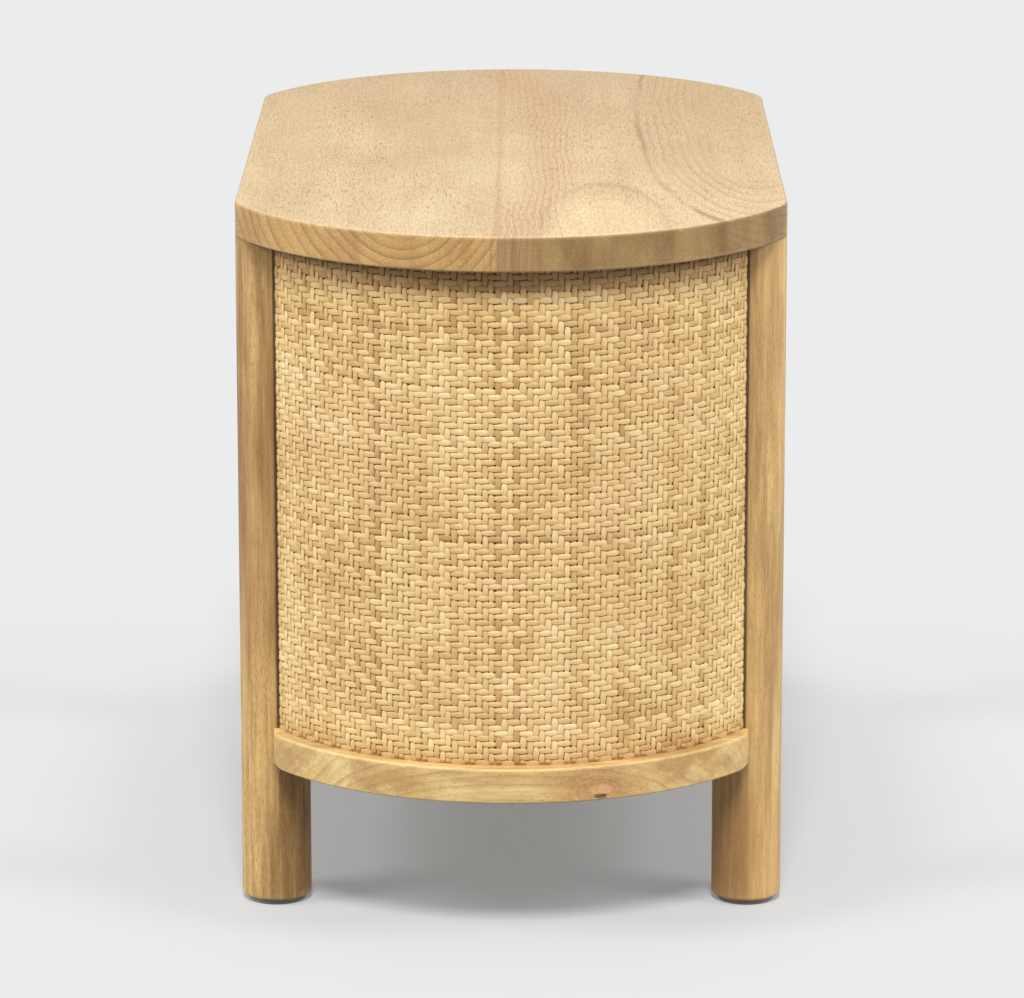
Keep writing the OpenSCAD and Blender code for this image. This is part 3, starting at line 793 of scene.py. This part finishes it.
def weave_gap_shade(g, x, y, z):
    """One on the strip of a leg that faces the cut edge of the weave, above the end rail, where painted shade
    stands for the dark gap.
    """
    reach = g.vector("LENGTH", g.join(g.minus(g.size(x), END_CENTRE), y, 0.0))
    mask = g.range(reach, WEAVE_R + 0.6 * MM, WEAVE_R - 0.4 * MM)
    mask = g.times(mask, g.above(g.size(x), LEG_X))
    return g.times(mask, g.above(z, RAIL_HIGH.z))


HONEY = (srgb(240, 212, 150), srgb(222, 184, 118), srgb(164, 120, 68), srgb(110, 74, 40))
GOLD = (srgb(240, 204, 136), srgb(214, 172, 108), srgb(142, 100, 54), srgb(96, 60, 32))
PALE = (srgb(232, 208, 164), srgb(222, 192, 142), srgb(196, 160, 108), srgb(150, 118, 78))
PLAIN = (srgb(222, 196, 150), srgb(208, 176, 126), srgb(178, 140, 90), srgb(132, 100, 62))

# What sets the wood of each slot apart
WOODS = {
    "leg_wood": dict(palette=GOLD, centre=(0.035, -0.02), gap=11 * MM, ring_strength=0.40, heart_share=0.85,
                     pore_share=0.7, marks="legs"),
    "rail_wood": dict(palette=HONEY, centre=(0.26, 0.06), gap=6 * MM, ring_strength=0.9,
                      blotch=(14.0, 40.0), heart_share=0.6, marks="knot"),
    "front_wood": dict(palette=HONEY, centre=(-0.21, 0.4), gap=9 * MM, ring_strength=0.45),
    "knob_wood": dict(palette=HONEY, centre=(0.03, 0.03), gap=4 * MM, ring_strength=0.45),
    "drawer_wood": dict(palette=PALE, centre=(0.1, 0.2), gap=6 * MM, ring_strength=0.3, pore_share=0.1),
}


@functools.cache
def slot_material(slot):
    """The one material of a slot, which has the slot's name."""
    if slot == "top_wood":
        return top_wood()
    if slot == "rattan":
        return rattan()
    return wood(slot, **WOODS[slot])


def nested(g, past_tip, stretch, y, centre):
    """Distance from a line that ends at a tip, so that equal distances draw nested tongues."""
    return g.vector("LENGTH", g.join(g.times(g.larger(past_tip, 0.0), stretch), g.minus(y, centre), 0.0))


def top_figure(g, grain, end_face, back_board, x, y, depth):
    """The dark growth lines of the top's two boards, and the arch of the back one.

    Front board: rings about a heart above the face. Back board: a tongue of nested lines beside its far edge,
    and an arch that opens towards the right-hand end.
    """
    heart_y, heart_up = -0.085, 0.032
    tongue_y, tongue_reach, tongue_stretch = 0.200, 0.0905, 0.245
    arch_tip, arch_y, arch_reach, arch_stretch = 0.36, 0.071, 0.0475, 0.26
    front_rings = g.vector("LENGTH", g.join(0.0, g.minus(y, heart_y), g.plus(depth, heart_up)))
    front_lines = ring_lines(g, front_rings, 7.5 * MM, g.range(end_face, 0, 1, 0.10, 0.80))
    tongue = nested(g, x, tongue_stretch, y, tongue_y)
    tongue_share = g.times(g.range(tongue, 0.096, 0.090), g.range(tongue, 0.020, 0.060, 0.10, 0.85))
    tongue_lines = ring_lines(g, g.plus(tongue, depth), 7.0 * MM, tongue_share)
    tongue_rim = g.near(tongue, tongue_reach, 0.6 * MM, 3.5 * MM, 0.85)
    arch = nested(g, g.minus(arch_tip, x), arch_stretch, y, arch_y)
    arch_share = g.times(g.range(arch, 0.056, 0.048), g.range(arch, 0.026, 0.042, 0.05, 0.65))
    arch_lines = ring_lines(g, g.plus(arch, depth), 8.0 * MM, arch_share)
    arch_rim = g.near(arch, arch_reach, 0.5 * MM, 4 * MM, 0.42)
    faded = g.range(g.noise(grain, (9.0, 22.0)), 0.34, 0.60, 0.25, 1.0)
    back_lines = g.larger(g.larger(tongue_lines, arch_lines), g.larger(tongue_rim, arch_rim))
    return g.mix_values(back_board, front_lines, g.times(back_lines, faded)), arch


def top_base(g, grain, end_face, back_board, x, normal_x, patches, arch):
    """The ground colours of the face and of the edge, with painted shade that darkens the face towards the
    far end.
    """
    face = g.mix(patches, srgb(221, 200, 159), srgb(196, 171, 128))
    pinker = g.range(g.noise(g.vector("ADD", grain, (5.0, 0.0, 0.0)), (3.0, 8.0)), 0.4, 0.7)
    face = g.mix(g.times(pinker, g.range(back_board, 0, 1, 0.25, 0.6)), face, srgb(204, 172, 136))
    # Painted shade: the face darkens towards the far end, where the light falls off
    face = g.stain(face, srgb(164, 138, 100), x, 0.8 * HALF_LENGTH, -HALF_LENGTH, 0.70)
    face = g.mix(g.times(back_board, g.range(arch, 0.046, 0.030, 0.0, 0.5)), face, srgb(226, 202, 156))
    mottled = g.range(g.noise(grain, (8.0, 38.0, 14.0), detail=3.0, rough=0.6), 0.32, 0.68)
    front_end = g.mix(mottled, srgb(222, 182, 116), srgb(194, 150, 90))
    back_end = g.mix(mottled, srgb(178, 147, 94), srgb(128, 99, 58))
    end = g.mix(back_board, front_end, back_end)
    end = g.stain(end, srgb(214, 178, 124), g.size(normal_x), 0.5, 0.1, 0.85)
    return g.mix(end_face, face, end)


def top_wood():
    """Two wide boards glued side by side, with their own figure on the face and rings on the end grain."""
    g = Graph("top_wood")
    grain = g.attribute("grain", vector=True)
    x, y, z = g.split(grain)
    normal = g.split(g.node("ShaderNodeNewGeometry").outputs["Normal"])
    end_face = g.range(g.size(normal[2]), 0.9, 0.3)
    sway = g.times(g.minus(g.noise(grain, (3.2, 7.0), detail=1.0), 0.5), 0.030)
    ripple = g.times(g.minus(g.noise(grain, (14.0, 24.0), detail=1.0), 0.5), 0.007)
    y_moved = g.plus(y, g.plus(sway, ripple))
    joint = g.plus(-10 * MM, g.times(g.minus(g.noise(grain, (3.0, 0.0)), 0.5), 4 * MM))
    back_board = g.range(g.minus(y, joint), -1.5 * MM, 1.5 * MM)
    lines, arch = top_figure(g, grain, end_face, back_board, x, y_moved, g.minus(TOP_HIGH.z, z))
    patches = g.range(g.noise(grain, (4.0, 9.0), detail=4.0, rough=0.6), 0.34, 0.66)
    base = top_base(g, grain, end_face, back_board, x, normal[0], patches, arch)

    # A pink band that bends away from the joint, the glue line on the face, and a dark line on the end
    bend = g.times(g.math("POWER", g.size(g.minus(x, 0.03)), 2.0), 0.22)
    from_band = g.size(g.plus(g.minus(y_moved, 0.032), bend))
    base = g.stain(base, srgb(190, 148, 112), from_band, 30 * MM, 2 * MM, 0.45)
    glue_line = g.times(g.near(y, joint, 0.5 * MM, 4 * MM, 0.40), g.minus(1.0, end_face))
    base = g.mix(glue_line, base, srgb(176, 128, 88))
    base = g.mix(g.times(end_face, g.near(y, 3 * MM, 1 * MM, 4 * MM, 0.45)), base, srgb(150, 98, 62))

    dark = g.mix(end_face, srgb(158, 118, 80), srgb(134, 92, 50))
    colour = g.mix(lines, base, dark)
    turns = g.math("DIVIDE", g.plus(y_moved, 0.1), 5.2 * MM)
    band_lines = g.range(g.math("FRACT", turns), 0.6, 0.95, 0.0, 0.42)
    colour = g.mix(g.times(band_lines, g.range(from_band, 16 * MM, 24 * MM, 1.0, 0.0)), colour, dark)

    # Fibres, specks, longer dashes where the grain is open, and pores
    fibre, _, pores = fibres_and_pores(g, grain, 0.9)
    colour = g.stain(colour, dark, fibre, 0.35, 0.75, 0.18)
    specks = g.noise(grain, (110.0, 760.0), rough=0.6)
    on_face = g.range(end_face, 0.0, 1.0, 0.32, 0.22)
    colour = g.mix(g.times(g.range(specks, 0.42, 0.72), on_face), colour, dark)
    colour = g.mix(g.times(g.range(specks, 0.46, 0.30), g.times(on_face, 0.6)), colour, srgb(236, 216, 176))
    dashes = g.noise(g.vector("ADD", grain, (1.0, 0.0, 0.0)), (60.0, 560.0), rough=0.6)
    open_grain = g.range(g.noise(grain, (6.0, 20.0)), 0.35, 0.65, 0.25, 0.72)
    dashes = g.times(g.range(dashes, 0.54, 0.66), open_grain)
    colour = g.mix(g.times(dashes, g.range(end_face, 0.0, 1.0, 1.0, 0.4)), colour, srgb(150, 114, 76))
    colour = g.mix(g.times(pores, 0.45), colour, srgb(128, 94, 60))
    worn = g.times(g.attribute("edge"), g.range(patches, 0.0, 1.0, 0.0, 0.25))
    colour = g.mix(worn, colour, srgb(216, 188, 140))
    return finish_wood(g, colour, fibre, pores, 0.58)


def rattan():
    """Flat splints of peeled rattan, each strand and float in its own tone, with fine lines along it, and
    painted shade in the dips, under the top and above the rail.
    """
    g = Graph("rattan")
    grain = g.attribute("grain", vector=True)
    tint = g.attribute("tint")
    relief = g.attribute("relief")
    place = g.place()
    floats = g.noise(grain, (95.0, 0.0, 1.0), detail=1.0)
    mottle = g.noise(grain, (16.0, 60.0, 1.0), detail=3.0)
    streak = g.noise(grain, (24.0, 1500.0, 1.0))
    knots = g.noise(grain, (9.0, 9.0, 1.0), detail=1.0)
    cloud = g.noise(place, 13.0, detail=3.0, rough=0.6)
    warmth = g.noise(place, 9.0)
    shade = g.plus(g.times(tint, 0.36), g.times(mottle, 0.30))
    shade = g.plus(shade, g.times(floats, 0.34))
    shade = g.plus(shade, g.range(cloud, 0.3, 0.7, -0.13, 0.13))
    colour = g.ramp(shade, [
        (0.14, srgb(184, 144, 88)), (0.32, srgb(214, 177, 114)), (0.48, srgb(232, 199, 137)),
        (0.62, srgb(241, 210, 150)), (0.82, srgb(252, 229, 176))])
    colour = g.stain(colour, srgb(226, 184, 134), warmth, 0.42, 0.68, 0.35)
    colour = g.stain(colour, srgb(176, 128, 84), tint, 0.045, 0.03, 0.45)
    colour = g.stain(colour, srgb(172, 120, 76), knots, 0.66, 0.76, 0.5)
    colour = g.stain(colour, srgb(186, 146, 88), streak, 0.38, 0.75, 0.28)
    # Painted shade in the dips, where a strand runs under its neighbours
    colour = g.stain(colour, srgb(122, 84, 44), relief, 0.0, -0.9, 0.75)
    # Painted shade close under the top's overhang and down in the corner above the rail
    height = g.split(place)[2]
    under_top = g.minus(UNDER_TOP, height)
    above_rail = g.minus(height, RAIL_HIGH.z)
    colour = g.stain(colour, srgb(144, 94, 42), under_top, 33 * MM, 8 * MM, 0.55)
    colour = g.stain(colour, srgb(140, 92, 46), above_rail, 13 * MM, 2 * MM, 0.42)
    roughness = g.range(floats, 0.3, 0.7, 0.34, 0.56)
    normal = g.bump(streak, 0.12 * MM, 0.5)
    return g.finish(colour, roughness, normal)


def plywood(name, order, palette):
    """Rotary-cut veneer, with a broad wavy figure. Palette rows as for wood."""
    g = Graph(name)
    grain = g.object_coordinates(order)
    sheet = g.noise(grain, (1.5, 16.0), detail=3.0, rough=0.6, distortion=0.6)
    lines = ring_lines(g, g.times(sheet, 0.12), 8 * MM, 0.3)
    fibre, fine, pores = fibres_and_pores(g, grain, 0.1)
    colour = g.mix(g.range(sheet, 0.35, 0.65), palette[0], palette[1])
    colour = g.mix(lines, colour, palette[2])
    colour = g.stain(colour, palette[2], fibre, 0.35, 0.75, 0.3)
    colour = g.mix(g.times(pores, 0.4), colour, palette[3])
    normal = g.bump(g.plus(fibre, fine), 0.12 * MM, 0.25)
    return g.finish(colour, g.range(fibre, 0.3, 0.7, 0.54, 0.70), normal)


def metal(name, colour, rough, order="YXZ"):
    """Brushed or plated metal with faint lines and marks."""
    g = Graph(name)
    place = g.object_coordinates(order)
    lines = g.noise(place, (20.0, 2400.0))
    marks = g.noise(place, 140.0, detail=3.0)
    darker = tuple(0.6 * c for c in colour[:3]) + (1.0,)
    tone = g.stain(colour, darker, marks, 0.45, 0.7, 0.35)
    roughness = g.plus(g.range(lines, 0.3, 0.7, rough - 0.07, rough + 0.07),
                       g.range(marks, 0.5, 0.7, 0.0, 0.1))
    return g.finish(tone, roughness, g.bump(lines, 0.04 * MM, 0.3), metallic=1.0)


def moulded(name, colour):
    """Moulded plastic with a fine matt texture and scuffs."""
    g = Graph(name)
    place = g.object_coordinates("XYZ")
    grit = g.noise(place, 1800.0)
    scuff = g.noise(place, (60.0, 60.0, 260.0), detail=3.0)
    tone = g.stain(colour, srgb(118, 116, 114), scuff, 0.5, 0.75, 0.5)
    return g.finish(tone, g.range(scuff, 0.3, 0.7, 0.5, 0.7), g.bump(grit, 0.08 * MM, 0.3))


def dress_nodes():
    """Gives every CAD node that stays in view its own material."""
    # Painted shade: the plywood behind the end weaves is dark brown so that the gaps between the splints read
    # as shadowed.
    backing_shade_palette = (srgb(122, 84, 48), srgb(104, 70, 40), srgb(78, 50, 28), srgb(56, 36, 20))
    steel = metal("slide_steel", srgb(188, 190, 194), 0.34)
    balls = metal("ball_steel", srgb(214, 216, 220), 0.14)
    screws = metal("screw_steel", srgb(168, 164, 156), 0.30, "XYZ")
    rough_x = wood("inner_wood_x", PLAIN, "XYZ", pore_share=0.2)
    rough_y = wood("inner_wood_y", PLAIN, "YXZ", pore_share=0.2)
    ply_x = plywood("plywood_x", "XYZ", PALE)
    ply_z = plywood("plywood_z", "ZYX", PALE)
    painted_shade_backing = plywood("bent_plywood", "ZYX", backing_shade_palette)
    dowel = wood("dowel_wood", PALE, "ZXY", gap=3 * MM, pore_share=0.1)
    glide = moulded("glide_plastic", srgb(128, 124, 118))
    chosen = {
        rough_x: ["front_top_rail", "front_middle_rail", "back_top_rail"],
        rough_y: ["left_bearer", "right_bearer", "left_end_top_rail", "right_end_top_rail", "top_cleats"],
        ply_x: ["floor_panel", "back_panel", "upper_drawer_bottom", "lower_drawer_bottom"],
        ply_z: ["left_partition", "right_partition"],
        # Painted shade: the dark backing stands for the shade in the gaps of the end weaves.
        painted_shade_backing: ["left_end_panel", "right_end_panel"],
        dowel: ["rail_dowels", "leg_dowels"],
        glide: ["foot_glides"],
        balls: ["upper_ball_strips", "lower_ball_strips"],
        screws: ["top_screws", "case_channel_screws", "upper_drawer_screws", "lower_drawer_screws"],
        steel: [n for n in frame["nodes"] if n.endswith("_channel")],
    }
    for material, nodes in chosen.items():
        for name in nodes:
            materials = frame["nodes"][name].data.materials
            for k in range(len(materials)):
                materials[k] = material


# ---- studio

FLOOR_GREY = 0.414
FLOOR_GLOW = 0.20
FLOOR_MOTTLE = 0.003
# Slightly cool, against the warm light that the wood throws on the floor
FLOOR_TINT = (0.98, 1.01, 1.04, 1.0)
WHITE = (1.0, 1.0, 1.0, 1.0)
STUDIO_WHITE = 0.84
AMBIENT = 0.38
AMBIENT_BELOW = 0.22


def make_floor():
    """A large plain floor that runs to the horizon."""
    reach, sides = 40.0, 96
    angles = [2 * math.pi * k / sides for k in range(sides)]
    rim = [(reach * math.cos(angle), reach * math.sin(angle), 0.0) for angle in angles]
    mesh = bpy.data.meshes.new("floor")
    mesh.from_pydata(rim, [], [tuple(range(sides))])
    g = Graph("floor_paper")
    place = g.place()
    darkest, lightest = FLOOR_GREY * (1 - FLOOR_MOTTLE), FLOOR_GREY * (1 + FLOOR_MOTTLE)
    tone = g.range(g.noise(place, 3.0), 0.3, 0.7, darkest, lightest)
    mesh.materials.append(g.finish(g.join(tone, tone, tone), 0.9, Specular_IOR_Level=0.0,
                                   Emission_Color=FLOOR_TINT, Emission_Strength=FLOOR_GLOW))
    floor = bpy.data.objects.new("floor", mesh)
    floor.visible_diffuse = False
    bpy.context.scene.collection.objects.link(floor)
    return floor


def make_world():
    """Even light from all round, weaker from below, and a plain backdrop behind the floor's edge."""
    world = bpy.data.worlds.new("studio")
    g = Graph("studio", world)
    height = g.split(g.node("ShaderNodeTexCoord").outputs["Generated"])[2]
    level = g.range(height, -0.1, 0.1, AMBIENT_BELOW, AMBIENT)
    ambient = g.node("ShaderNodeBackground", {"Color": WHITE, "Strength": level}).outputs[0]
    backdrop = g.node("ShaderNodeBackground", {"Color": WHITE, "Strength": STUDIO_WHITE}).outputs[0]
    seen = g.node("ShaderNodeLightPath").outputs["Is Camera Ray"]
    shader = g.node("ShaderNodeMixShader", {0: seen, 1: ambient, 2: backdrop}).outputs[0]
    g.node("ShaderNodeOutputWorld", {0: shader})
    bpy.context.scene.world = world


# Soft lamps: name, strength, azimuth seen from above (0 is the front, 90 the right end), elevation, spread
FLOOR_LAMPS = [
    ("floor_key", 2.85, 90, 52, 13),
]
LOW_LAMPS = [
    ("floor_left", 1.13, 20, 42, 22),
    ("floor_right", 0.97, 160, 42, 22),
]
CASE_LAMPS = [
    ("front", 1.77, 90, 50, 20),
    ("key", 2.06, 20, 30, 24),
    ("fill", 1.84, 160, 30, 24),
    ("rear", 0.95, 270, 58, 40),
]


def make_lamp(name, strength, azimuth, elevation, spread):
    lamp = bpy.data.lights.new(name, "SUN")
    lamp.energy = strength
    lamp.angle = math.radians(spread)
    light = bpy.data.objects.new(name, lamp)
    a, e = math.radians(azimuth), math.radians(elevation)
    towards = Vector((math.sin(a) * math.cos(e), -math.cos(a) * math.cos(e), math.sin(e)))
    light.rotation_euler = towards.to_track_quat("Z", "Y").to_euler()
    bpy.context.scene.collection.objects.link(light)
    return light


def make_lamps(floor):
    """Some lamps light only the floor and the others only the case, so that the shadow stays below the case.

    The two low lamps are stopped only by the legs, the rails and the floor of the case.
    """
    stops = bpy.data.collections.new("low_parts")
    for piece in list(bpy.data.objects):
        if piece.name.endswith(("leg_turned", "rail_bent", "rail_straight")):
            stops.objects.link(piece)
    stops.objects.link(frame["nodes"]["floor_panel"])
    for state, lamps in [("INCLUDE", FLOOR_LAMPS + LOW_LAMPS), ("EXCLUDE", CASE_LAMPS)]:
        group = bpy.data.collections.new("floor_" + state.lower())
        group.objects.link(floor)
        for item in group.collection_objects:
            item.light_linking.link_state = state
        for lamp in lamps:
            light = make_lamp(*lamp)
            light.light_linking.receiver_collection = group
            if lamp in LOW_LAMPS:
                light.light_linking.blocker_collection = stops


def make_camera():
    """A long lens that looks at the right-hand end from a little above."""
    place = Vector((4.5145, 0.0151, 1.3497))
    yaw, pitch, roll = -0.0034, 0.2352, -0.0005
    ahead = Vector((-math.cos(yaw) * math.cos(pitch), math.sin(yaw) * math.cos(pitch), -math.sin(pitch)))
    level = Vector((math.sin(yaw), math.cos(yaw), 0))
    up = level.cross(ahead)
    right = math.cos(roll) * level + math.sin(roll) * up
    above = -math.sin(roll) * level + math.cos(roll) * up
    camera = bpy.data.objects.new("camera", bpy.data.cameras.new("camera"))
    camera.data.sensor_width = 36
    camera.data.lens = 195.8
    camera.data.clip_end = 100
    camera.matrix_world = Matrix.Translation(place) @ Matrix((right, above, -ahead)).transposed().to_4x4()
    bpy.context.scene.collection.objects.link(camera)
    bpy.context.scene.camera = camera


def set_view():
    scene = bpy.context.scene
    scene.view_settings.view_transform = "Standard"
    scene.view_settings.look = "None"


set_view()
make_camera()
make_world()
floor = make_floor()
make_top()
make_legs()
make_end_rails()
make_straight_rails()
make_end_weaves()
make_drawer_weaves()
for level in LEVELS:
    make_drawer_front(level)
    make_knob(level)
    make_drawer_box(level)
dress_nodes()
make_lamps(floor)
